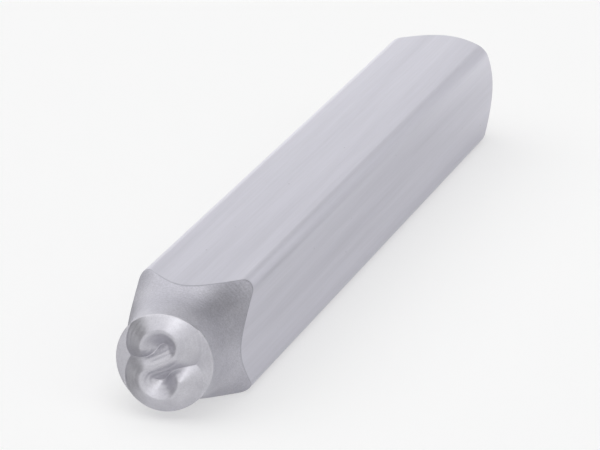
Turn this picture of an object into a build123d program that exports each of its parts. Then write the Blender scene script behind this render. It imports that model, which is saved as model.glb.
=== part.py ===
from build123d import *
import math
import os

# Steel letter punch, turned and milled from one square bar, lying on one flat
# Millimetres, +Z up. The letter faces -Y and the struck end faces +Y
# Origin: on the resting flat, below the middle of the punch

# Square bar with rounded long edges
shank_width = 7.0
edge_radius = 0.75
punch_length = 65.0

# Turned working end: a short round nose that flares out into the square bar
nose_diameter = 5.9
nose_length = 1.15
flare_radius = 11.0

# Turned struck end, with its chamfer's angle measured from the axis
head_diameter = 6.2
head_chamfer_angle = 30.0

# Raised letter: an S cut in reverse, so that it stamps the right way round
# Its height and width are taken between the middles of the land
letter_height = 4.2
letter_width = 2.38
land_width = 0.15
relief_depth = 0.95
flank_angle = 40.0

# Each half of the S is an open hook with a tighter turn, and a straight spine joins the two turns
# The upper hook is narrower than the lower one, by the same inset on each side
# Angles are seen from in front of the letter, anticlockwise from the right
upper_hook_inset = 0.05
turn_share_of_height = 0.19
upper_turn_start = 35.0
lower_turn_end = 192.0

# How far a cutting shape runs past the surface that it cuts
cutter_overlap = 0.2

# Planes and distances that follow from the sizes above
axis_height = shank_width / 2
tip_y = -punch_length / 2
head_y = punch_length / 2
corner_distance = (axis_height - edge_radius) * math.sqrt(2) + edge_radius
swing_radius = corner_distance + cutter_overlap


def point_at(centre, radius, angle):
    """The point at an angle on a circle, as (distance to the right, height above the axis)."""
    turn = math.radians(angle)
    return (centre[0] + radius * math.cos(turn), centre[1] + radius * math.sin(turn))


def cross_plane(y):
    """A plane across the punch, centred on its axis."""
    return Plane(origin=(0, y, axis_height), x_dir=(1, 0, 0), z_dir=(0, 1, 0))


def square_bar():
    """The bar that the punch is made from, as long as the finished punch."""
    section = cross_plane(tip_y) * RectangleRounded(shank_width, shank_width, edge_radius)
    return extrude(section, punch_length)


def turned_envelope():
    """All that the lathe leaves: the nose, its hollow flare, and the chamfer of the struck end."""
    nose_radius = nose_diameter / 2
    head_radius = head_diameter / 2
    flare_centre = (nose_radius + flare_radius, tip_y + nose_length)
    flare_turn = math.degrees(math.acos(1 - (swing_radius - nose_radius) / flare_radius))
    flare_start = point_at(flare_centre, flare_radius, 180)
    flare_middle = point_at(flare_centre, flare_radius, 180 - flare_turn / 2)
    flare_end = point_at(flare_centre, flare_radius, 180 - flare_turn)
    chamfer_length = (swing_radius - head_radius) / math.tan(math.radians(head_chamfer_angle))
    chamfer_start = (swing_radius, head_y - chamfer_length)
    nose = Polyline((0, tip_y), (nose_radius, tip_y), flare_start)
    flare = ThreePointArc(flare_start, flare_middle, flare_end)
    head = Polyline(flare_end, chamfer_start, (head_radius, head_y), (0, head_y), (0, tip_y))
    profile = Plane.XY.offset(axis_height) * make_face([nose, flare, head])
    return revolve(profile, Axis((0, 0, axis_height), (0, 1, 0)))


def ridge_section():
    """The letter's ridge cut across: a narrow land with a milled flank sloping away on each side."""
    half_land = land_width / 2
    depth = relief_depth + cutter_overlap
    foot = half_land + depth / math.tan(math.radians(flank_angle))
    left_side = [(-foot, depth), (-half_land, 0), (-half_land, -cutter_overlap)]
    right_side = [(half_land, -cutter_overlap), (half_land, 0), (foot, depth)]
    return make_face(Polyline(*left_side, *right_side, close=True))


def round_stroke(centre, radius, start, end):
    """The ridge along an arc. A radius of 0 gives the cone that rounds off a stroke's end.

    Where the inner flank would cross the arc's own centre it stops there, which leaves a conical pit.
    """
    turn = math.radians(start)
    origin = (centre[0], tip_y, axis_height + centre[1])
    radial = (math.cos(turn), 0, math.sin(turn))
    forward = (-math.sin(turn), 0, math.cos(turn))
    reach = 2 * (radius + shank_width)
    one_side = Rectangle(reach, reach, align=(Align.MIN, Align.CENTER))
    section = Pos(radius, 0) * ridge_section() & one_side
    return revolve(Plane(origin, x_dir=radial, z_dir=forward) * section, Axis(origin, (0, -1, 0)), end - start)


def straight_stroke(start, end):
    """The ridge along a straight line."""
    along = (end[0] - start[0], 0, end[1] - start[1])
    across = (along[2], 0, -along[0])
    origin = (start[0], tip_y, axis_height + start[1])
    return extrude(Plane(origin, x_dir=across, z_dir=along) * ridge_section(), math.dist(start, end))


def letter_ridge():
    """The reversed S, seen from its own face, from the end of its upper hook to that of its lower one."""
    lower_radius = letter_width / 2
    upper_radius = lower_radius - upper_hook_inset
    turn_radius = letter_height * turn_share_of_height
    upper_hook = (0, letter_height / 2 - upper_radius)
    lower_hook = (0, lower_radius - letter_height / 2)
    upper_turn = point_at(upper_hook, upper_radius - turn_radius, upper_turn_start)
    lower_turn = point_at(lower_hook, lower_radius - turn_radius, lower_turn_end)
    centre_line = math.atan2(lower_turn[1] - upper_turn[1], lower_turn[0] - upper_turn[0])
    opening = math.acos(2 * turn_radius / math.dist(upper_turn, lower_turn))
    spine_angle = math.degrees(centre_line + opening)
    spine_top = point_at(upper_turn, turn_radius, spine_angle)
    spine_foot = point_at(lower_turn, turn_radius, spine_angle + 180)
    ridge = round_stroke(point_at(upper_hook, upper_radius, 180), 0, 180, 360)
    ridge += round_stroke(upper_hook, upper_radius, upper_turn_start, 180)
    ridge += round_stroke(upper_turn, turn_radius, spine_angle, upper_turn_start)
    ridge += straight_stroke(spine_top, spine_foot)
    ridge += round_stroke(lower_turn, turn_radius, spine_angle + 180, lower_turn_end)
    ridge += round_stroke(lower_hook, lower_radius, lower_turn_end, 360)
    ridge += round_stroke(point_at(lower_hook, lower_radius, 0), 0, 0, 180)
    return ridge


def milled_away():
    """The metal cut from the nose all round the letter, down to a flat floor."""
    slab = extrude(cross_plane(tip_y - cutter_overlap) * Circle(swing_radius), cutter_overlap + relief_depth)
    return slab - letter_ridge()


def letter_punch():
    """The whole punch: the bar turned at both ends, with the letter left standing on its nose."""
    blank = square_bar() & turned_envelope()
    return blank - milled_away()


os.makedirs("parts", exist_ok=True)
export_step(letter_punch(), "parts/letter_punch.step")
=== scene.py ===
"""A steel letter punch in a plain pale studio.

The punch is one square bar of tool steel, turned at both ends, with a reversed letter S left standing on
its nose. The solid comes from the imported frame. This file gives it the surface of the real tool: long
flats ground lengthwise, a flare and a struck end with the rings of the lathe, a letter with the marks of
the engraving cutter, and edges that are broken and not razor sharp. All lengths are in metres.
"""

import logging
import math
from dataclasses import dataclass, field
from enum import Enum

import bpy
import numpy as np
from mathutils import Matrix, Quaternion, Vector


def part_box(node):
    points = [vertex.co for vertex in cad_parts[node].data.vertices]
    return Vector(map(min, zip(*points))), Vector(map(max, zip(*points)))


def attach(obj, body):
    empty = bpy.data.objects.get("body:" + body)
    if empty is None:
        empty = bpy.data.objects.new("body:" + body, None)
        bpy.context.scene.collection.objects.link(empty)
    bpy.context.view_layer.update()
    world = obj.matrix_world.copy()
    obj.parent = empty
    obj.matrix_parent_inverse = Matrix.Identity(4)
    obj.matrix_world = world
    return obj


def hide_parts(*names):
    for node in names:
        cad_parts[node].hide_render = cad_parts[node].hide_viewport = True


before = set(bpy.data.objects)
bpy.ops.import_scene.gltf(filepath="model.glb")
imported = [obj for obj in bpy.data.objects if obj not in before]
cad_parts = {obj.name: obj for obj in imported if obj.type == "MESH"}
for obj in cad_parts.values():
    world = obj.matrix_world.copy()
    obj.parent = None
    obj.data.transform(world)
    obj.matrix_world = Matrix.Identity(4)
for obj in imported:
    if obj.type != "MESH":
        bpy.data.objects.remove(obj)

MM = 0.001
NODE = "letter_punch"
BODY = "root"

# Sockets that share a name go by number. These are a colour Mix node's factor, two colours and result.
FACTOR, FIRST, SECOND, MIXED = 0, 6, 7, 2

# The inputs of a Map Range node: a value, the ends of its span, and what it becomes at each of them.
RANGE = ("Value", "From Min", "From Max", "To Min", "To Max")

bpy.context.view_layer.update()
log = logging.getLogger("letter_punch")


def linear_colour(code: str) -> tuple[float, float, float, float]:
    """Turn an sRGB hex colour into the linear values that a shader takes.

    Each channel c becomes c / 12.92 up to 0.04045, and ((c + 0.055) / 1.055) ** 2.4 above it.

    Args:
        code: Six hex digits, such as "c6c5ce".

    Returns:
        Red, green and blue in linear light, and an alpha of 1.
    """
    channels = np.array([int(code[i : i + 2], 16) / 255 for i in (0, 2, 4)])
    low, high = channels / 12.92, ((channels + 0.055) / 1.055) ** 2.4
    return (*np.where(channels <= 0.04045, low, high).tolist(), 1.0)


def add_node(tree: bpy.types.NodeTree, kind: str, inputs: dict | None = None, **settings) -> bpy.types.Node:
    """Add one node with its settings and links.

    Args:
        tree: The node tree that gets the node.
        kind: The node's type name.
        inputs: Input names or numbers, each with a value or with the output socket that feeds it.
        settings: The node's own settings.

    Returns:
        The new node.
    """
    node = tree.nodes.new(kind)
    for name, value in settings.items():
        setattr(node, name, value)
    for key, value in (inputs or {}).items():
        if isinstance(value, bpy.types.NodeSocket):
            tree.links.new(value, node.inputs[key])
        else:
            node.inputs[key].default_value = value
    return node


def emptied_tree(owner: bpy.types.Material | bpy.types.World) -> bpy.types.NodeTree:
    """Turn the nodes of a material or a world on, and empty its tree.

    Args:
        owner: The material or the world.

    Returns:
        Its node tree.
    """
    owner.use_nodes = True
    owner.node_tree.nodes.clear()
    return owner.node_tree


def add_object(name: str, data: bpy.types.ID) -> bpy.types.Object:
    """Put a new object into the scene.

    Args:
        name: The object's name.
        data: Its mesh, lamp or camera.

    Returns:
        The object.
    """
    made = bpy.data.objects.new(name, data)
    bpy.context.scene.collection.objects.link(made)
    return made


def ring_quads(rows: int, columns: int) -> np.ndarray:
    """Quads of a grid that closes round its columns, where grid point (i, j) is vertex i * columns + j.

    Args:
        rows: Number of rows.
        columns: Number of columns.

    Returns:
        The four corners of each quad.
    """
    here = np.arange(columns)
    after = (here + 1) % columns
    start = np.arange(rows - 1)[:, None] * columns
    corners = [start + here, start + columns + here, start + columns + after, start + after]
    return np.stack(corners, axis=-1).reshape(-1, 4)


def eased_least(first: np.ndarray, second: np.ndarray, width: float) -> np.ndarray:
    """The lesser of two lengths, eased where they cross.

    It is min(a, b) - h^2 w / 4, where h = max(w - |a - b|, 0) / w.

    Args:
        first: One length.
        second: The other length.
        width: The difference w below which the two are eased into each other.

    Returns:
        The eased lengths.
    """
    closeness = np.maximum(width - abs(first - second), 0) / width
    return np.minimum(first, second) - closeness**2 * width / 4


class Zone(Enum):
    """Which tool made a part of the surface. The value is the material's place on the mesh."""

    GROUND = 0
    TURNED = 1
    ENGRAVED = 2


class Lay(Enum):
    """The mesh attribute that a tool's passes follow."""

    FEED = "feed"
    CONTOUR = "contour"


@dataclass(frozen=True)
class SteelFinish:
    """Hardened tool steel as one tool leaves it.

    A noise pattern mostly stays near the middle of its range from 0 to 1. A span is the part of that range
    over which a look goes from one end to the other.

    Attributes:
        name: The material's name.
        colour: The clean metal, sRGB hex.
        dull: The same metal where its skin is duller, sRGB hex.
        burnish_highlight: The metal on a burnished edge, lightened as a painted highlight, sRGB hex.
        roughness: How far the satin surface spreads a reflection.
        grain: Width of one scratch or grain.
        stretch: How many times longer than wide the grain is, along the bar.
        grain_depth: Height of the grain.
        cloud: Size of the patches where the metal is duller.
        pit_tone: How dark the pits are, from 0 for none to 1.
        grain_tone: How far the grain lightens and darkens the metal.
        grain_polish: How much smoother and how much rougher the grain makes it.
        dull_roughness: How much rougher the dull patches are.
        edge_polish: How much smoother a burnished edge is.
        crease_shadow: The fine dark line of painted shadow where two cuts meet, sRGB hex.
        lay: The attribute that the passes follow.
        pitch: Distance between two passes of the tool.
        pass_depth: Height of the ridge between two passes.
        stray: How far the passes stray from even spacing, in radians of their wave.
        pit: Width of one of the few dark pits.
        pit_spacing: Distance between the places where there may be one.
        pit_colour: A pit, sRGB hex.
        pit_core: Share of a pit's width that is as dark as it gets.
        detail: How many finer layers the grain and the patches have.
        harshness: Strength of each finer layer of the grain beside the one before it.
        dull_span: Span of the patches, from clean to dull.
        tone_span: Span of the grain, from dark to light.
        polish_span: Span of the grain, from smooth to rough.
        stray_rate: How often the passes stray, in waves for each pitch.
        swell_rate: How often their depth swells and fades, in waves for each pitch.
        swell_span: Span of that swelling, from faint to deep.
        faintest: Depth of a pass where it is faint, as a share of the deepest.
    """

    name: str
    colour: str
    dull: str
    # painted highlight: a burnished edge is lightened in colour as well as made smoother
    burnish_highlight: str
    roughness: float
    grain: float
    stretch: float
    grain_depth: float
    cloud: float
    pit_tone: float
    grain_tone: float = 0.12
    grain_polish: tuple[float, float] = (0.04, 0.05)
    dull_roughness: float = 0.05
    edge_polish: float = 0.1
    # painted shadow: colour of the dark line laid along the creases
    crease_shadow: str = "77767f"
    lay: Lay = Lay.FEED
    pitch: float = 0.3 * MM
    pass_depth: float = 0.0
    stray: float = 5.0
    pit: float = 0.14 * MM
    pit_spacing: float = 2.0 * MM
    pit_colour: str = "4a4a50"
    pit_core: float = 0.5
    detail: float = 4.0
    harshness: float = 0.6
    dull_span: tuple[float, float] = (0.35, 0.68)
    tone_span: tuple[float, float] = (0.2, 0.8)
    polish_span: tuple[float, float] = (0.25, 0.75)
    stray_rate: float = 0.4
    swell_rate: float = 0.12
    swell_span: tuple[float, float] = (0.35, 0.65)
    faintest: float = 0.2

    def height(self, tree: bpy.types.NodeTree, grain: bpy.types.NodeSocket) -> bpy.types.NodeSocket:
        """The relief in metres: the grain, plus sin(2 pi s / pitch + stray) for the passes of the tool.

        Args:
            tree: The material's node tree.
            grain: The grain pattern, from 0 to 1.

        Returns:
            The socket that holds the height.
        """
        where = add_node(tree, "ShaderNodeTexCoord").outputs["Object"]
        travel = add_node(tree, "ShaderNodeAttribute", attribute_name=self.lay.value).outputs["Fac"]
        wander = add_node(
            tree, "ShaderNodeTexNoise", {"Vector": where, "Scale": self.stray_rate / self.pitch}
        )
        turns = add_node(tree, "ShaderNodeMath", {0: travel, 1: math.tau / self.pitch}, operation="MULTIPLY")
        phase = add_node(
            tree,
            "ShaderNodeMath",
            {0: wander.outputs["Fac"], 1: self.stray, 2: turns.outputs[0]},
            operation="MULTIPLY_ADD",
        )
        wave = add_node(tree, "ShaderNodeMath", {0: phase.outputs[0]}, operation="SINE")
        uneven = add_node(
            tree, "ShaderNodeTexNoise", {"Vector": where, "Scale": self.swell_rate / self.pitch}
        ).outputs["Fac"]
        swell = add_node(
            tree,
            "ShaderNodeMapRange",
            dict(zip(RANGE, (uneven, *self.swell_span, self.faintest * self.pass_depth, self.pass_depth))),
        ).outputs["Result"]
        passes = add_node(tree, "ShaderNodeMath", {0: wave.outputs[0], 1: swell}, operation="MULTIPLY")
        relief = add_node(
            tree,
            "ShaderNodeMath",
            {0: grain, 1: self.grain_depth, 2: passes.outputs[0]},
            operation="MULTIPLY_ADD",
        )
        return relief.outputs[0]

    def skin(
        self,
        tree: bpy.types.NodeTree,
        grain: bpy.types.NodeSocket,
        patches: bpy.types.NodeSocket,
        edge: bpy.types.NodeSocket,
    ) -> bpy.types.NodeSocket:
        """The metal's colour: dull patches, a few pits, a painted shadow line in the creases and burnished
        edges lightened as a painted highlight, shaded by the grain.

        Args:
            tree: The material's node tree.
            grain: The grain pattern, from 0 to 1.
            patches: How dull the metal is, from 0 to 1.
            edge: From 1 on a burnished edge with a painted highlight to -1 on a crease with a painted shadow
                line.

        Returns:
            The socket that holds the colour.
        """
        where = add_node(tree, "ShaderNodeTexCoord").outputs["Object"]
        cells = add_node(
            tree, "ShaderNodeTexVoronoi", {"Vector": where, "Scale": 1.0 / self.pit_spacing}
        ).outputs["Distance"]
        reach = self.pit / 2 / self.pit_spacing
        pits = add_node(
            tree,
            "ShaderNodeMapRange",
            dict(zip(RANGE, (cells, reach * self.pit_core, reach, self.pit_tone, 0.0))),
        ).outputs["Result"]
        # painted shadow line in the creases, where the edge attribute is negative
        crease_shadow = add_node(tree, "ShaderNodeMath", {0: edge, 1: -1.0}, operation="MULTIPLY").outputs[0]

        colour = linear_colour(self.colour)
        # the last two layers paint a shadow line into the creases and a highlight onto burnished edges
        layers = [(patches, self.dull), (pits, self.pit_colour), (crease_shadow, self.crease_shadow), (edge, self.burnish_highlight)]
        for share, code in layers:
            colour = add_node(
                tree,
                "ShaderNodeMix",
                {FACTOR: share, FIRST: colour, SECOND: linear_colour(code)},
                data_type="RGBA",
            ).outputs[MIXED]
        shade = add_node(
            tree,
            "ShaderNodeMapRange",
            dict(zip(RANGE, (grain, *self.tone_span, 1.0 - self.grain_tone, 1.0 + self.grain_tone))),
        ).outputs["Result"]
        return add_node(
            tree,
            "ShaderNodeMix",
            {FACTOR: 1.0, FIRST: colour, SECOND: shade},
            data_type="RGBA",
            blend_type="MULTIPLY",
        ).outputs[MIXED]

    def material(self) -> bpy.types.Material:
        """Build the material: a metal whose colour, roughness and relief follow the tool's marks.

        Returns:
            The material.
        """
        made = bpy.data.materials.new(self.name)
        tree = emptied_tree(made)
        where = add_node(tree, "ShaderNodeTexCoord").outputs["Object"]
        edge = add_node(tree, "ShaderNodeAttribute", attribute_name="edge").outputs["Fac"]
        drawn_out = add_node(
            tree, "ShaderNodeMapping", {"Vector": where, "Scale": (1.0, 1.0 / self.stretch, 1.0)}
        ).outputs["Vector"]
        grain = add_node(
            tree,
            "ShaderNodeTexNoise",
            {
                "Vector": drawn_out,
                "Scale": 1.0 / self.grain,
                "Detail": self.detail,
                "Roughness": self.harshness,
            },
        ).outputs["Fac"]
        cloud = add_node(
            tree,
            "ShaderNodeTexNoise",
            {"Vector": drawn_out, "Scale": 1.0 / self.cloud, "Detail": self.detail},
        ).outputs["Fac"]
        patches = add_node(
            tree, "ShaderNodeMapRange", dict(zip(RANGE, (cloud, *self.dull_span, 0.0, 1.0)))
        ).outputs["Result"]

        smoother, rougher = self.grain_polish
        rough = add_node(
            tree,
            "ShaderNodeMapRange",
            dict(zip(RANGE, (grain, *self.polish_span, self.roughness - smoother, self.roughness + rougher))),
        ).outputs["Result"]
        patchy = add_node(
            tree, "ShaderNodeMath", {0: patches, 1: self.dull_roughness, 2: rough}, operation="MULTIPLY_ADD"
        ).outputs[0]
        polished = add_node(
            tree, "ShaderNodeMath", {0: edge, 1: -self.edge_polish, 2: patchy}, operation="MULTIPLY_ADD"
        ).outputs[0]

        bump = add_node(
            tree, "ShaderNodeBump", {"Height": self.height(tree, grain), "Distance": 1.0, "Strength": 1.0}
        )
        shader = add_node(
            tree,
            "ShaderNodeBsdfPrincipled",
            {
                "Base Color": self.skin(tree, grain, patches, edge),
                "Metallic": 1.0,
                "Roughness": polished,
                "Normal": bump.outputs[0],
            },
        )
        add_node(tree, "ShaderNodeOutputMaterial", {"Surface": shader.outputs[0]})
        return made


# Flats ground lengthwise on a belt: a satin skin with fine straight scratches that run along the bar.
# The scratches of a fine belt are about 0.02 mm apart, and are drawn 0.17 mm apart so that they show.
GROUND_STEEL = SteelFinish(
    name="tool_steel_ground_lengthwise",
    colour="cbcad4",
    dull="c4c3cd",
    burnish_highlight="d6d5dc",
    roughness=0.34,
    grain=0.17 * MM,
    stretch=40.0,
    grain_depth=0.0030 * MM,
    grain_tone=0.08,
    cloud=1.3 * MM,
    pit_tone=0.5,
)

# Turned and then tumbled: the lathe's rings are nearly gone under an even fine grain, which looks matt.
# The feed is about 0.08 mm a turn, and is drawn as 0.26 mm so that the rings show.
TURNED_STEEL = SteelFinish(
    name="tool_steel_turned_and_tumbled",
    colour="c4c3cb",
    dull="b9b8c1",
    burnish_highlight="d3d2d9",
    roughness=0.42,
    grain=0.11 * MM,
    stretch=1.0,
    grain_depth=0.007 * MM,
    grain_tone=0.22,
    pitch=0.26 * MM,
    pass_depth=0.002 * MM,
    cloud=2.2 * MM,
    pit_tone=0.5,
)

# Engraved with a conical cutter that runs round the letter: faint steps side by side along every stroke.
# The steps are about 0.27 mm apart.
ENGRAVED_STEEL = SteelFinish(
    name="tool_steel_engraved",
    colour="cac9cf",
    dull="bcbbc2",
    burnish_highlight="d6d5da",
    roughness=0.38,
    grain=0.09 * MM,
    stretch=1.0,
    grain_depth=0.0026 * MM,
    lay=Lay.CONTOUR,
    pitch=0.27 * MM,
    pass_depth=0.006 * MM,
    cloud=1.6 * MM,
    pit_tone=0.15,
)


@dataclass
class SquareBar:
    """The square bar with rounded long edges that the punch is made from.

    Attributes:
        width: Its width across the flats.
        corner_radius: Rounding of its long edges.
    """

    width: float
    corner_radius: float = 0.75 * MM

    def radius(self, angle: np.ndarray) -> np.ndarray:
        """Distance from the axis to the bar's skin.

        With a the half width, c the corner radius, and m and n the larger and smaller of |cos| and |sin|,
        it is a / m on a flat, and b + sqrt(b^2 + c^2 - 2 (a - c)^2) on a corner, where b = (a - c) (m + n).

        Args:
            angle: Angles round the axis.

        Returns:
            The distance at each angle.
        """
        half, inner = self.width / 2, self.width / 2 - self.corner_radius
        larger = np.maximum(abs(np.cos(angle)), abs(np.sin(angle)))
        smaller = np.minimum(abs(np.cos(angle)), abs(np.sin(angle)))
        reach = inner * (larger + smaller)
        corner = reach + np.sqrt(np.maximum(reach**2 + self.corner_radius**2 - 2 * inner**2, 0))
        return np.where(half * smaller / larger <= inner, half / larger, corner)


@dataclass
class TurnedOutline:
    """What the lathe leaves: a round nose with a hollow flare, and a chamfered struck end.

    Attributes:
        tip: Place of the letter's land along Y.
        end: Place of the struck face along Y.
        nose_radius: Radius of the round nose.
        nose_length: Its length, from the tip to where the flare starts.
        flare_radius: Radius of the hollow of the flare.
        head_radius: Radius of the struck face, before its rim is rounded.
        chamfer_angle: The chamfer's angle, measured from the axis.
        flare_reach: How far the flare is worked out, as a share of its hollow's radius. It has met the
            bar long before that.
    """

    tip: float
    end: float
    nose_radius: float = 2.95 * MM
    nose_length: float = 1.15 * MM
    flare_radius: float = 11.0 * MM
    head_radius: float = 3.1 * MM
    chamfer_angle: float = math.radians(30)
    flare_reach: float = 0.99

    @property
    def nose_end(self) -> float:
        """Where the round nose runs out into the flare."""
        return self.tip + self.nose_length

    def radius(self, along: np.ndarray) -> np.ndarray:
        """Radius of the outline: the lesser of the flare's and the chamfer's.

        The flare is r + F - sqrt(F^2 - s^2), where r is the nose's radius, F the flare's own radius and s the
        distance past the nose. The chamfer is R + s tan(a), where s is the distance before the end.

        Args:
            along: Places along Y.

        Returns:
            The radius at each place.
        """
        past = np.clip(along - self.nose_end, 0, self.flare_reach * self.flare_radius)
        flare = self.nose_radius + self.flare_radius - np.sqrt(self.flare_radius**2 - past**2)
        chamfer = self.head_radius + (self.end - along) * math.tan(self.chamfer_angle)
        return np.minimum(flare, chamfer)

    def flare_at(self, radius: np.ndarray) -> np.ndarray:
        """Where the flare has grown to a radius."""
        rise = self.flare_radius - (radius - self.nose_radius)
        return self.nose_end + np.sqrt(self.flare_radius**2 - rise**2)

    def chamfer_at(self, radius: np.ndarray) -> np.ndarray:
        """Where the chamfer starts on a bar of a radius."""
        return self.end - (radius - self.head_radius) / math.tan(self.chamfer_angle)


@dataclass
class EngravedLetter:
    """The reversed S: a narrow land along a path of arcs and one straight, with a slope down each side.

    Places on the nose are (x, z) from its centre, seen from in front, and angles start at +X.

    Attributes:
        height: The letter's height, between the middles of its land.
        width: Its width, taken in the same way.
        land: Width of the land.
        relief: Depth of the floor below the land.
        flank_angle: Slope of the flanks.
        upper_hook_inset: How much smaller the upper hook is than the lower one, on each side.
        turn_share_of_height: Radius of the two turns, as a share of the height.
        upper_turn_start: Where the upper hook tightens into its turn.
        lower_turn_end: Where the lower turn opens into its hook.
        blunting: How far the tumbling has blunted the land's edges.
        tip_radius: Radius of the cutter's tip.
        ring_points: Points of the ring that the depth is averaged over.
    """

    height: float = 4.2 * MM
    width: float = 2.38 * MM
    land: float = 0.15 * MM
    relief: float = 0.95 * MM
    flank_angle: float = math.radians(40)
    upper_hook_inset: float = 0.05 * MM
    turn_share_of_height: float = 0.19
    upper_turn_start: float = math.radians(35)
    lower_turn_end: float = math.radians(192)
    blunting: float = 0.035 * MM
    tip_radius: float = 0.012 * MM
    ring_points: int = 16

    def arcs(self) -> list[tuple[np.ndarray, float, float, float]]:
        """The four arcs of the path, from the upper hook to the lower one.

        Each half is an open hook that tightens into a turn. The spine is the straight that touches both
        turns from opposite sides: it meets them at atan2(line of centres) + acos(2 r / distance).

        Returns:
            The centre, radius, start and end angle of each arc.
        """
        lower, turn = self.width / 2, self.height * self.turn_share_of_height
        upper = lower - self.upper_hook_inset
        upper_hook = np.array([0.0, self.height / 2 - upper])
        lower_hook = np.array([0.0, lower - self.height / 2])
        upper_turn = upper_hook + (upper - turn) * self.towards(self.upper_turn_start)
        lower_turn = lower_hook + (lower - turn) * self.towards(self.lower_turn_end)
        across, up = lower_turn - upper_turn
        spine = math.atan2(up, across) + math.acos(2 * turn / math.hypot(across, up))
        return [
            (upper_hook, upper, self.upper_turn_start, math.pi),
            (upper_turn, turn, spine, self.upper_turn_start),
            (lower_turn, turn, spine + math.pi, self.lower_turn_end),
            (lower_hook, lower, self.lower_turn_end, math.tau),
        ]

    @staticmethod
    def towards(angle: float) -> np.ndarray:
        """The unit vector at an angle."""
        return np.array([math.cos(angle), math.sin(angle)])

    def distance(self, x: np.ndarray, z: np.ndarray) -> np.ndarray:
        """Distance from places on the nose to the middle of the land.

        It is the least over the strokes. Beside an arc it is | |p - c| - r |, beside the straight it is the
        distance square to it, and past a stroke's end it is the distance to that end.

        Args:
            x: Places across the nose.
            z: Places up the nose, from its centre.

        Returns:
            The distances.
        """
        place = np.stack([x, z], axis=-1)
        found = np.full(x.shape, np.inf)
        joints = []
        for centre, radius, start, end in self.arcs():
            out = place - centre
            turned = (np.arctan2(out[..., 1], out[..., 0]) - start) % math.tau
            beside = abs(np.hypot(out[..., 0], out[..., 1]) - radius)
            ends = [centre + radius * self.towards(a) for a in (start, end)]
            past = np.minimum(*(np.hypot(*np.moveaxis(place - e, -1, 0)) for e in ends))
            found = np.minimum(found, np.where(turned <= end - start, beside, past))
            joints.append(ends)
        top, foot = joints[1][0], joints[2][0]
        share = np.clip((place - top) @ (foot - top) / ((foot - top) @ (foot - top)), 0, 1)
        off = place - top - share[..., None] * (foot - top)
        return np.minimum(found, np.hypot(off[..., 0], off[..., 1]))

    def depth(self, x: np.ndarray, z: np.ndarray) -> np.ndarray:
        """How deep the nose is cut back at each place.

        The slope is (d - land / 2) tan(flank angle) between 0 and the relief, where d is the distance to the
        path. It is averaged over a ring, because the tumbling blunts the land's edges and the valleys are as
        round as the cutter's tip. The ring shrinks from the one to the other over the next land's width.

        Args:
            x: Places across the nose.
            z: Places up the nose, from its centre.

        Returns:
            The depths behind the tip.
        """
        ring = np.linspace(0, math.tau, self.ring_points, endpoint=False)
        near, far = self.land, 2 * self.land
        reach = np.interp(self.distance(x, z), (near, far), (self.blunting, self.tip_radius))[..., None]
        there = x[..., None] + reach * np.cos(ring), z[..., None] + reach * np.sin(ring)
        gone = self.distance(*there) - self.land / 2
        return np.clip(gone * math.tan(self.flank_angle), 0, self.relief).mean(axis=-1)


@dataclass
class Band:
    """Some rows of the punch's surface that one tool made. Every array is rows by columns.

    Attributes:
        zone: The tool.
        radius: Distance from the axis.
        along: Place along Y.
        feed: How far the tool has travelled along the profile.
        contour: Distance to the letter's path.
        edge: From 1 on a burnished edge with a painted highlight to -1 on the painted shadow line where two
            cuts meet.
    """

    zone: Zone
    radius: np.ndarray
    along: np.ndarray
    feed: np.ndarray
    contour: np.ndarray
    edge: np.ndarray


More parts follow.
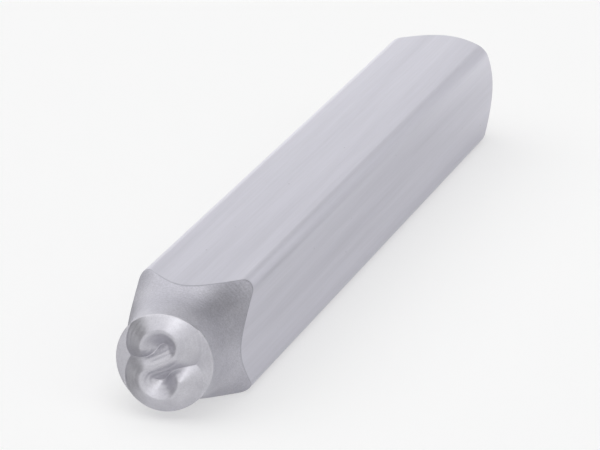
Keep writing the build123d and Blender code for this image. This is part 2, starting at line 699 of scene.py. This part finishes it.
@dataclass
class LetterPunch:
    """The whole punch: one closed surface, from the middle of its letter to the middle of its struck end.

    Attributes:
        bar: The square bar.
        outline: What the lathe leaves of it.
        letter: What the engraving cutter leaves on the nose.
        axis_height: Height of the axis above the flat that the punch rests on.
        columns: Points round the axis.
        face_rings: Rings over the nose's face.
        rim_rows: Rows over the nose's rim.
        nose_steps: Steps from row to row along the round nose.
        flare_steps: Steps along the flare.
        flat_steps: Steps along the flats.
        chamfer_steps: Steps along the chamfer.
        head_rim_rows: Rows over the struck end's rim.
        head_rings: Rings over the struck face.
        guard: How far the close rows beside a crease reach.
        guard_rows: Places of these rows, as shares of the guard.
        edge_break: How far the flats and the turned ends are eased into each other.
        rim_radius: Rounding of the nose's rim.
        head_rim_radius: Rounding of the struck end's rim.
        crease_shadow_tone: Strength of the painted shadow line in the creases.
        rim_shine: How burnished the nose's rim is, from 0 to 1, which also sets its painted highlight.
        head_rim_shine: How burnished the struck end's rim is, from 0 to 1, which also sets its painted
            highlight.
        finishes: The finish of each zone.
    """

    bar: SquareBar
    outline: TurnedOutline
    letter: EngravedLetter
    axis_height: float
    columns: int = 480
    face_rings: int = 124
    rim_rows: int = 5
    nose_steps: int = 5
    flare_steps: int = 20
    flat_steps: int = 5
    chamfer_steps: int = 6
    head_rim_rows: int = 7
    head_rings: int = 7
    guard: float = 0.16 * MM
    guard_rows: tuple[float, ...] = (0.12, 0.25, 0.4, 0.6, 0.8, 1.0)
    edge_break: float = 0.035 * MM
    rim_radius: float = 0.05 * MM
    head_rim_radius: float = 0.12 * MM
    # painted shadow: how dark the line along the creases is
    crease_shadow_tone: float = 0.35
    rim_shine: float = 0.3
    head_rim_shine: float = 0.6
    finishes: dict[Zone, SteelFinish] = field(
        default_factory=lambda: {
            Zone.GROUND: GROUND_STEEL,
            Zone.TURNED: TURNED_STEEL,
            Zone.ENGRAVED: ENGRAVED_STEEL,
        }
    )

    def angle(self) -> np.ndarray:
        """Angles of the columns round the axis, from +X towards +Z."""
        return np.linspace(0, math.tau, self.columns, endpoint=False)

    def engraved_band(self) -> Band:
        """The nose's face: rings whose depth is the letter's, rolled over at the rim by a quarter circle.

        Returns:
            The band.
        """
        rim = self.outline.nose_radius - self.rim_radius
        roll = np.linspace(0, math.pi / 2, self.rim_rows + 1)[1:, None]
        rings = np.linspace(0, rim, self.face_rings + 1)[1:, None]
        radius = np.concatenate([rings, rim + self.rim_radius * np.sin(roll)]) + 0 * self.angle()
        drop = np.concatenate([0 * rings, self.rim_radius * (1 - np.cos(roll))])
        x, z = radius * np.cos(self.angle()), radius * np.sin(self.angle())
        away = self.letter.distance(x, z)
        on_rim = np.clip((radius - rim) / self.rim_radius, 0, 1)
        along = self.outline.tip + self.letter.depth(x, z) + drop
        # burnished nose rim, smoother and lightened as a painted highlight
        return Band(Zone.ENGRAVED, radius, along, along, away, self.rim_shine * on_rim)

    def side_band(self, zone: Zone, along: np.ndarray) -> Band:
        """Rows along the side of the punch.

        The radius is the lesser of the bar's and the turned outline's, eased where they cross. Where the two
        are equal, a fine dark line of painted shadow is laid along the crease.

        Args:
            zone: The tool that made the rows.
            along: Places along Y, rows by columns.

        Returns:
            The band.
        """
        square = self.bar.radius(self.angle())
        turned = self.outline.radius(along)
        radius = eased_least(square, turned, self.edge_break)
        edge = np.clip(1 - abs(square - turned) / self.edge_break, 0, 1)
        # the crease gets a negative edge value, which paints a shadow line there
        return Band(zone, radius, along, along, 0 * along, -self.crease_shadow_tone * edge)

    def side_bands(self, rim: np.ndarray) -> list[Band]:
        """The nose and its flare, the flats, and the struck end's chamfer.

        Rows follow the two creases where the turned ends meet the flats, close together beside each crease
        and evenly spaced between them.

        Args:
            rim: Where each column leaves the rim of the nose.

        Returns:
            The bands in order.
        """
        square = self.bar.radius(self.angle())
        flare_crease = self.outline.flare_at(square)
        chamfer_crease = self.outline.chamfer_at(square)
        close = self.guard * np.array(self.guard_rows)[:, None]
        before, after = -np.concatenate([close[::-1], [[0.0]]]), close

        def between(start: np.ndarray, end: np.ndarray, steps: int) -> np.ndarray:
            """Evenly spaced rows between start and end, without these two."""
            return start + (end - start) * np.arange(1, steps)[:, None] / steps

        nose_end = np.full(self.columns, self.outline.nose_end)
        rolled = np.full(self.columns, self.outline.end - self.head_rim_radius)
        flare_start, flats_start = flare_crease - self.guard, flare_crease + self.guard
        flats_end, chamfer_start = chamfer_crease - self.guard, chamfer_crease + self.guard
        return [
            self.side_band(Zone.TURNED, between(rim, nose_end, self.nose_steps)),
            self.side_band(Zone.TURNED, between(nose_end, flare_start, self.flare_steps)),
            self.side_band(Zone.TURNED, flare_crease + before),
            self.side_band(Zone.GROUND, flare_crease + after),
            self.side_band(Zone.GROUND, between(flats_start, flats_end, self.flat_steps)),
            self.side_band(Zone.GROUND, chamfer_crease + before),
            self.side_band(Zone.TURNED, chamfer_crease + after),
            self.side_band(Zone.TURNED, between(chamfer_start, rolled, self.chamfer_steps)),
        ]

    def struck_band(self) -> Band:
        """The struck end: the chamfer rolls over by a quarter circle, then rings close on the axis.

        Returns:
            The band.
        """
        roll = np.linspace(0, math.pi / 2, self.head_rim_rows)[:, None]
        rolled = self.outline.end - self.head_rim_radius * (1 - np.sin(roll))
        rim = self.outline.radius(rolled) - self.head_rim_radius * (1 - np.cos(roll))
        rings = rim[-1] * np.linspace(1, 0, self.head_rings + 2)[1:-1, None]
        radius = np.concatenate([rim, rings]) + 0 * self.angle()
        along = np.concatenate([rolled, 0 * rings + self.outline.end]) + 0 * self.angle()
        feed = along + self.outline.head_radius - radius
        # burnished rim of the struck end, smoother and lightened as a painted highlight
        shine = np.concatenate([self.head_rim_shine * np.sin(2 * roll), 0 * rings]) + 0 * self.angle()
        return Band(Zone.TURNED, radius, along, feed, 0 * along, shine)

    def faces(self, rows: int) -> tuple[np.ndarray, np.ndarray]:
        """Faces of the surface: a grid that ends in a pole before and after its rows.

        The two poles come after the grid's own vertices.

        Args:
            rows: Number of rows.

        Returns:
            The quads, and the triangles at the two poles, all facing outwards.
        """
        here = np.arange(self.columns)
        after = (here + 1) % self.columns
        last_row = (rows - 1) * self.columns
        first_pole = np.full(self.columns, rows * self.columns)
        opening = np.stack([first_pole, here, after], axis=-1)
        closing = np.stack([first_pole + 1, last_row + after, last_row + here], axis=-1)
        return ring_quads(rows, self.columns), np.concatenate([opening, closing])

    def build(self) -> bpy.types.Object:
        """Make the surface, give each zone its finish, and let it stand for the CAD solid.

        A point of the surface is (r cos a, y, h + r sin a), with h the height of the axis.

        Returns:
            The punch.
        """
        face = self.engraved_band()
        bands = [face, *self.side_bands(face.along[-1]), self.struck_band()]
        radius, along, feed, contour, edge = (
            np.concatenate([getattr(b, name) for b in bands])
            for name in ("radius", "along", "feed", "contour", "edge")
        )
        zones = np.concatenate([np.full(len(b.radius), b.zone.value) for b in bands])
        around = self.angle()
        height = self.axis_height + radius * np.sin(around)
        points = np.stack([radius * np.cos(around), along, height], axis=-1).reshape(-1, 3)
        centre = self.letter.depth(np.zeros(1), np.zeros(1))[0]
        poles = [
            [0.0, self.outline.tip + centre, self.axis_height],
            [0.0, self.outline.end, self.axis_height],
        ]
        quads, caps = self.faces(len(radius))

        mesh = bpy.data.meshes.new("punch_surface")
        mesh.from_pydata(np.concatenate([points, poles]).tolist(), [], [*quads.tolist(), *caps.tolist()])
        middle = self.letter.distance(np.zeros(1), np.zeros(1))[0]
        last_feed = self.outline.end + self.outline.head_radius
        for name, values, ends in (
            ("feed", feed, (self.outline.tip, last_feed)),
            ("contour", contour, (middle, 0.0)),
            ("edge", edge, (0.0, 0.0)),
        ):
            stored = mesh.attributes.new(name, "FLOAT", "POINT")
            stored.data.foreach_set("value", np.concatenate([values.ravel(), ends]).astype(np.float32))

        for zone in Zone:
            mesh.materials.append(self.finishes[zone].material())
        on_caps = np.repeat([zones[0], zones[-1]], self.columns)
        slots = np.concatenate([np.repeat(zones[1:], self.columns), on_caps])
        mesh.polygons.foreach_set("material_index", slots.astype(np.int32))
        mesh.polygons.foreach_set("use_smooth", np.ones(len(slots), dtype=bool))
        mesh.update()
        punch = add_object("punch_in_steel", mesh)
        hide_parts(NODE)
        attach(punch, BODY)
        log.info("%s: %d triangles", punch.name, len(quads) * 2 + len(caps))
        return punch


@dataclass(frozen=True)
class WhitePaper:
    """Matt white studio paper, with a glow that only the camera and the steel's reflections see.

    The glow that the steel mirrors is a painted reflection. It is lightest along the punch and on the walls
    before and behind it, and darker on the floor to its left and in a dimmer patch on its right, so that the
    sides of the letter and the flare show. A pair of numbers is where a change starts and where it ends.

    Attributes:
        name: The material's name.
        colour: The paper, sRGB hex.
        roughness: How matt it is.
        specular: How little of a shine it has.
        wall_distance: Distances from the middle between which the floor's glow passes into the wall's.
        floor_glow: Strength of the floor's glow for the camera.
        wall_glow: Strength of the wall's glow behind the punch.
        front_wall_glow: Strength of the wall in front of it, for what the steel reflects.
        front_to_back: How far round the mirrored wall passes from the one to the other, as its Y share.
        left_fade: How far round the mirrored wall fades to nothing on the left, as its X share.
        front_glow: Strength of the floor in front of the punch, which its face reflects.
        strip_glow: Strength of the strip under and to the right of the punch, which its right side reflects.
        strip_left: Along X, where the strip starts and where it is at full strength.
        strip_right: Along X, where the strip starts to fade and where it ends.
        strip_front: Along Y, where the strip has widened to the whole floor, and where it starts to.
        shade: Place on the floor under the nose, where the punch's own shadow lies.
        shade_glow: What is added there, so that the undersides of the letter do not go dark.
        shade_reach: Distance from that place where this starts to fade and where it ends.
        far_floor: Distances between which the mirrored floor passes into the wall.
        dim_reflection: Direction of the dimmer patch painted into the mirrored glow, to the right and a
            little behind.
        dim_reflection_edge: Where the patch starts and where it is darkest, as the cosine of the angle from
            its middle.
        dim_reflection_glow: Strength of the patch where it is darkest.
    """

    name: str = "matt_white_studio_paper"
    colour: str = "b8b8b8"
    roughness: float = 0.95
    specular: float = 0.1
    wall_distance: tuple[float, float] = (0.4, 2.4)
    floor_glow: float = 0.49
    wall_glow: float = 0.85
    front_wall_glow: float = 0.65
    front_to_back: tuple[float, float] = (-0.3, 0.3)
    left_fade: tuple[float, float] = (-0.95, -0.75)
    front_glow: float = 0.41
    strip_glow: float = 0.42
    strip_left: tuple[float, float] = (-5.0 * MM, -1.5 * MM)
    strip_right: tuple[float, float] = (18.0 * MM, 30.0 * MM)
    strip_front: tuple[float, float] = (-37.0 * MM, -32.0 * MM)
    shade: tuple[float, float, float] = (0.5 * MM, -33.5 * MM, 0.0)
    shade_glow: float = 0.10
    shade_reach: tuple[float, float] = (2.0 * MM, 6.0 * MM)
    far_floor: tuple[float, float] = (0.034, 0.08)
    # painted reflection: the mirrored glow is dimmed towards this direction
    dim_reflection: tuple[float, float, float] = (0.9, 0.436, 0.0)
    dim_reflection_edge: tuple[float, float] = (0.6, 0.95)
    dim_reflection_glow: float = 0.2

    def mirrored_wall(self, tree: bpy.types.NodeTree, where: bpy.types.NodeSocket) -> bpy.types.NodeSocket:
        """What the steel mirrors of the wall, by its direction from the middle of the floor.

        Args:
            tree: The material's node tree.
            where: The place on the paper.

        Returns:
            The socket that holds the strength.
        """
        towards = add_node(tree, "ShaderNodeVectorMath", {0: where}, operation="NORMALIZE").outputs["Vector"]
        side = add_node(tree, "ShaderNodeSeparateXYZ", {0: towards}).outputs
        behind = add_node(
            tree,
            "ShaderNodeMapRange",
            dict(zip(RANGE, (side["Y"], *self.front_to_back, self.front_wall_glow, self.wall_glow))),
        ).outputs["Result"]
        left = add_node(
            tree, "ShaderNodeMapRange", dict(zip(RANGE, (side["X"], *self.left_fade, 0.0, behind)))
        ).outputs["Result"]
        # painted reflection: a dimmer patch in the glow that only the steel's reflections see
        faced = add_node(
            tree, "ShaderNodeVectorMath", {0: towards, 1: self.dim_reflection}, operation="DOT_PRODUCT"
        ).outputs["Value"]
        return add_node(
            tree, "ShaderNodeMapRange", dict(zip(RANGE, (faced, *self.dim_reflection_edge, left, self.dim_reflection_glow)))
        ).outputs["Result"]

    def mirrored_floor(self, tree: bpy.types.NodeTree, where: bpy.types.NodeSocket) -> bpy.types.NodeSocket:
        """What the steel mirrors of the floor near the punch: the strip, the front, and the lit shadow.

        Args:
            tree: The material's node tree.
            where: The place on the paper.

        Returns:
            The socket that holds the strength.
        """
        place = add_node(tree, "ShaderNodeSeparateXYZ", {0: where}).outputs
        inner = add_node(
            tree,
            "ShaderNodeMapRange",
            dict(zip(RANGE, (place["X"], *self.strip_left, 0.0, self.strip_glow))),
        ).outputs["Result"]
        beside = add_node(
            tree, "ShaderNodeMapRange", dict(zip(RANGE, (place["X"], *self.strip_right, inner, 0.0)))
        ).outputs["Result"]
        floor = add_node(
            tree,
            "ShaderNodeMapRange",
            dict(zip(RANGE, (place["Y"], *self.strip_front, self.front_glow, beside))),
        ).outputs["Result"]
        from_shade = add_node(
            tree, "ShaderNodeVectorMath", {0: where, 1: self.shade}, operation="DISTANCE"
        ).outputs["Value"]
        shade = add_node(
            tree,
            "ShaderNodeMapRange",
            dict(zip(RANGE, (from_shade, *self.shade_reach, self.shade_glow, 0.0))),
        ).outputs["Result"]
        return add_node(tree, "ShaderNodeMath", {0: floor, 1: shade}, operation="ADD").outputs[0]

    def material(self) -> bpy.types.Material:
        """Build the material.

        The glow is the floor's and the wall's for a camera ray, what the steel mirrors for a glossy or
        transmission ray, and none for any other, so that the paper lights the punch only as plain paper.

        Returns:
            The material.
        """
        made = bpy.data.materials.new(self.name)
        tree = emptied_tree(made)
        where = add_node(tree, "ShaderNodeTexCoord").outputs["Object"]
        reach = add_node(tree, "ShaderNodeVectorMath", {0: where}, operation="LENGTH").outputs["Value"]
        glow = add_node(
            tree,
            "ShaderNodeMapRange",
            dict(zip(RANGE, (reach, *self.wall_distance, self.floor_glow, self.wall_glow))),
        ).outputs["Result"]
        floor, wall = self.mirrored_floor(tree, where), self.mirrored_wall(tree, where)
        mirror = add_node(
            tree, "ShaderNodeMapRange", dict(zip(RANGE, (reach, *self.far_floor, floor, wall)))
        ).outputs["Result"]

        path = add_node(tree, "ShaderNodeLightPath").outputs
        mirrored = add_node(
            tree,
            "ShaderNodeMath",
            {0: path["Is Glossy Ray"], 1: path["Is Transmission Ray"]},
            operation="MAXIMUM",
        ).outputs[0]
        direct = add_node(tree, "ShaderNodeMath", {0: path["Is Camera Ray"], 1: glow}, operation="MULTIPLY")
        strength = add_node(
            tree, "ShaderNodeMath", {0: mirrored, 1: mirror, 2: direct.outputs[0]}, operation="MULTIPLY_ADD"
        ).outputs[0]
        shader = add_node(
            tree,
            "ShaderNodeBsdfPrincipled",
            {
                "Base Color": linear_colour(self.colour),
                "Roughness": self.roughness,
                "Specular IOR Level": self.specular,
                "Emission Color": (1.0, 1.0, 1.0, 1.0),
                "Emission Strength": strength,
            },
        )
        add_node(tree, "ShaderNodeOutputMaterial", {"Surface": shader.outputs[0]})
        return made


@dataclass(frozen=True)
class SoftLamp:
    """A square soft lamp that faces the punch.

    Attributes:
        name: The lamp's name.
        towards: Direction from the punch to the lamp.
        size: Length of its side.
        power: Its power in watts.
        distance: From the punch, far enough to light the floor evenly.
    """

    name: str
    towards: tuple[float, float, float]
    size: float
    power: float
    distance: float = 8.0

    def build(self) -> bpy.types.Object:
        """Make the lamp.

        Returns:
            The lamp.
        """
        data = bpy.data.lights.new(self.name, "AREA")
        data.shape, data.size, data.energy = "SQUARE", self.size, self.power
        lamp = add_object(self.name, data)
        towards = Vector(self.towards).normalized()
        lamp.location = towards * self.distance
        lamp.rotation_mode = "QUATERNION"
        lamp.rotation_quaternion = towards.to_track_quat("Z", "Y")
        return lamp


@dataclass
class Studio:
    """A round cove of white paper, two soft lamps, and a grey room above.

    Attributes:
        floor_radius: Where the floor starts to bend up.
        bend_radius: Radius of the bend.
        wall_height: Height of the wall's upper edge.
        floor_gap: How far the floor lies below the punch.
        columns: Points round the cove.
        floor_rings: Radii of the rings on the floor.
        bend_rows: Rows over the bend.
        lamps: The lamps.
        room_light: Strength of the grey room.
        paper: What the cove is made of.
    """

    floor_radius: float = 2.2
    bend_radius: float = 0.6
    wall_height: float = 1.5
    floor_gap: float = 0.01 * MM
    columns: int = 96
    floor_rings: tuple[float, ...] = (0.05, 0.2, 0.5, 1.0, 1.6)
    bend_rows: int = 17
    lamps: tuple[SoftLamp, ...] = (
        SoftLamp("overhead_softbox", towards=(-0.42, -0.03, 0.91), size=17.0, power=980.0),
        SoftLamp("front_softbox", towards=(0.62, -0.60, 0.51), size=10.0, power=385.0),
    )
    room_light: float = 0.22
    paper: WhitePaper = WhitePaper()

    def cove(self) -> bpy.types.Object:
        """The paper: a flat disc that bends up into a round wall.

        The profile (r, z) is a straight floor, a quarter circle, and a straight wall, turned round Z.

        Returns:
            The cove.
        """
        columns = self.columns
        bend = np.linspace(0, math.pi / 2, self.bend_rows)
        floor = np.array(self.floor_rings)
        out = np.concatenate([floor, self.floor_radius + self.bend_radius * np.sin(bend)])
        up = np.concatenate([0 * floor, self.bend_radius * (1 - np.cos(bend))])
        out, up = np.append(out, out[-1]), np.append(up, self.wall_height) - self.floor_gap
        around = np.linspace(0, math.tau, columns, endpoint=False)
        points = np.stack(
            [np.outer(out, np.cos(around)), np.outer(out, np.sin(around)), np.outer(up, np.ones(columns))],
            axis=-1,
        ).reshape(-1, 3)
        here = np.arange(columns)
        middle = np.stack([np.full(columns, len(points)), here, (here + 1) % columns], axis=-1)
        centre = [[0.0, 0.0, -self.floor_gap]]
        faces = [*ring_quads(len(out), columns).tolist(), *middle.tolist()]
        mesh = bpy.data.meshes.new("cove_surface")
        mesh.from_pydata(np.concatenate([points, centre]).tolist(), [], faces)
        mesh.polygons.foreach_set("use_smooth", np.ones(len(mesh.polygons), dtype=bool))
        mesh.materials.append(self.paper.material())
        mesh.update()
        cove = add_object("cove", mesh)
        return cove

    def room(self) -> None:
        """The grey room above the cove."""
        world = bpy.data.worlds.new("grey_room")
        tree = emptied_tree(world)
        light = add_node(
            tree, "ShaderNodeBackground", {"Color": (1.0, 1.0, 1.0, 1.0), "Strength": self.room_light}
        )
        add_node(tree, "ShaderNodeOutputWorld", {"Surface": light.outputs[0]})
        bpy.context.scene.world = world

    def build(self) -> None:
        """Set up the cove, the lamps and the room."""
        self.cove()
        for lamp in self.lamps:
            lamp.build()
        self.room()
        bpy.context.scene.view_settings.view_transform = "Standard"
        log.info("studio: cove, %d lamps and room", len(self.lamps))


@dataclass(frozen=True)
class Viewpoint:
    """The photograph's viewing angle on the nose, with the whole punch in the frame.

    Attributes:
        azimuth: Angle of the camera from straight in front of the letter, towards +X.
        elevation: Angle of the camera above the horizon.
        roll: How far the camera leans, anticlockwise from behind it.
        distance: From the camera to the middle of the nose.
        pixels_per_mm: Scale of the picture at the nose.
        aim: The point in the middle of the picture.
        sensor_width: Width of the camera's sensor in millimetres.
        picture_width: Width of the picture in pixels.
        clipping: Nearest and farthest distance that the camera shows.
    """

    azimuth: float = math.radians(17.8)
    elevation: float = math.radians(19.1)
    roll: float = math.radians(1.3)
    distance: float = 0.27
    pixels_per_mm: float = 17.4
    aim: tuple[float, float, float] = (0.0006, -0.006, 0.0043)
    sensor_width: float = 36.0
    picture_width: int = 600
    clipping: tuple[float, float] = (0.01, 50.0)

    def build(self, nose: Vector) -> bpy.types.Object:
        """Place the camera.

        The lens is the scale times the distance, in pixels, times the sensor's width over the picture's.

        Args:
            nose: The middle of the nose.

        Returns:
            The camera.
        """
        a, e = self.azimuth, self.elevation
        back = Vector((math.sin(a) * math.cos(e), -math.cos(a) * math.cos(e), math.sin(e)))
        data = bpy.data.cameras.new("camera")
        data.sensor_width = self.sensor_width
        data.lens = self.pixels_per_mm * self.distance / MM * self.sensor_width / self.picture_width
        data.clip_start, data.clip_end = self.clipping
        camera = add_object("camera", data)
        camera.location = nose + back * self.distance
        camera.rotation_mode = "QUATERNION"
        look = (camera.location - Vector(self.aim)).to_track_quat("Z", "Y")
        camera.rotation_quaternion = look @ Quaternion((0.0, 0.0, 1.0), self.roll)
        bpy.context.scene.camera = camera
        log.info("camera: %.0f mm lens, %.0f mm away", data.lens, self.distance / MM)
        return camera


def main() -> None:
    """Build the punch, the studio and the camera from the frame's box."""
    logging.basicConfig(level=logging.INFO, format="%(name)s: %(message)s")
    low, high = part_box(NODE)
    axis_height = (low[2] + high[2]) / 2
    punch = LetterPunch(
        bar=SquareBar(width=high[0] - low[0]),
        outline=TurnedOutline(tip=low[1], end=high[1]),
        letter=EngravedLetter(),
        axis_height=axis_height,
    )
    punch.build()
    Studio().build()
    Viewpoint().build(nose=Vector((0.0, low[1], axis_height)))


if __name__ == "__main__":
    main()
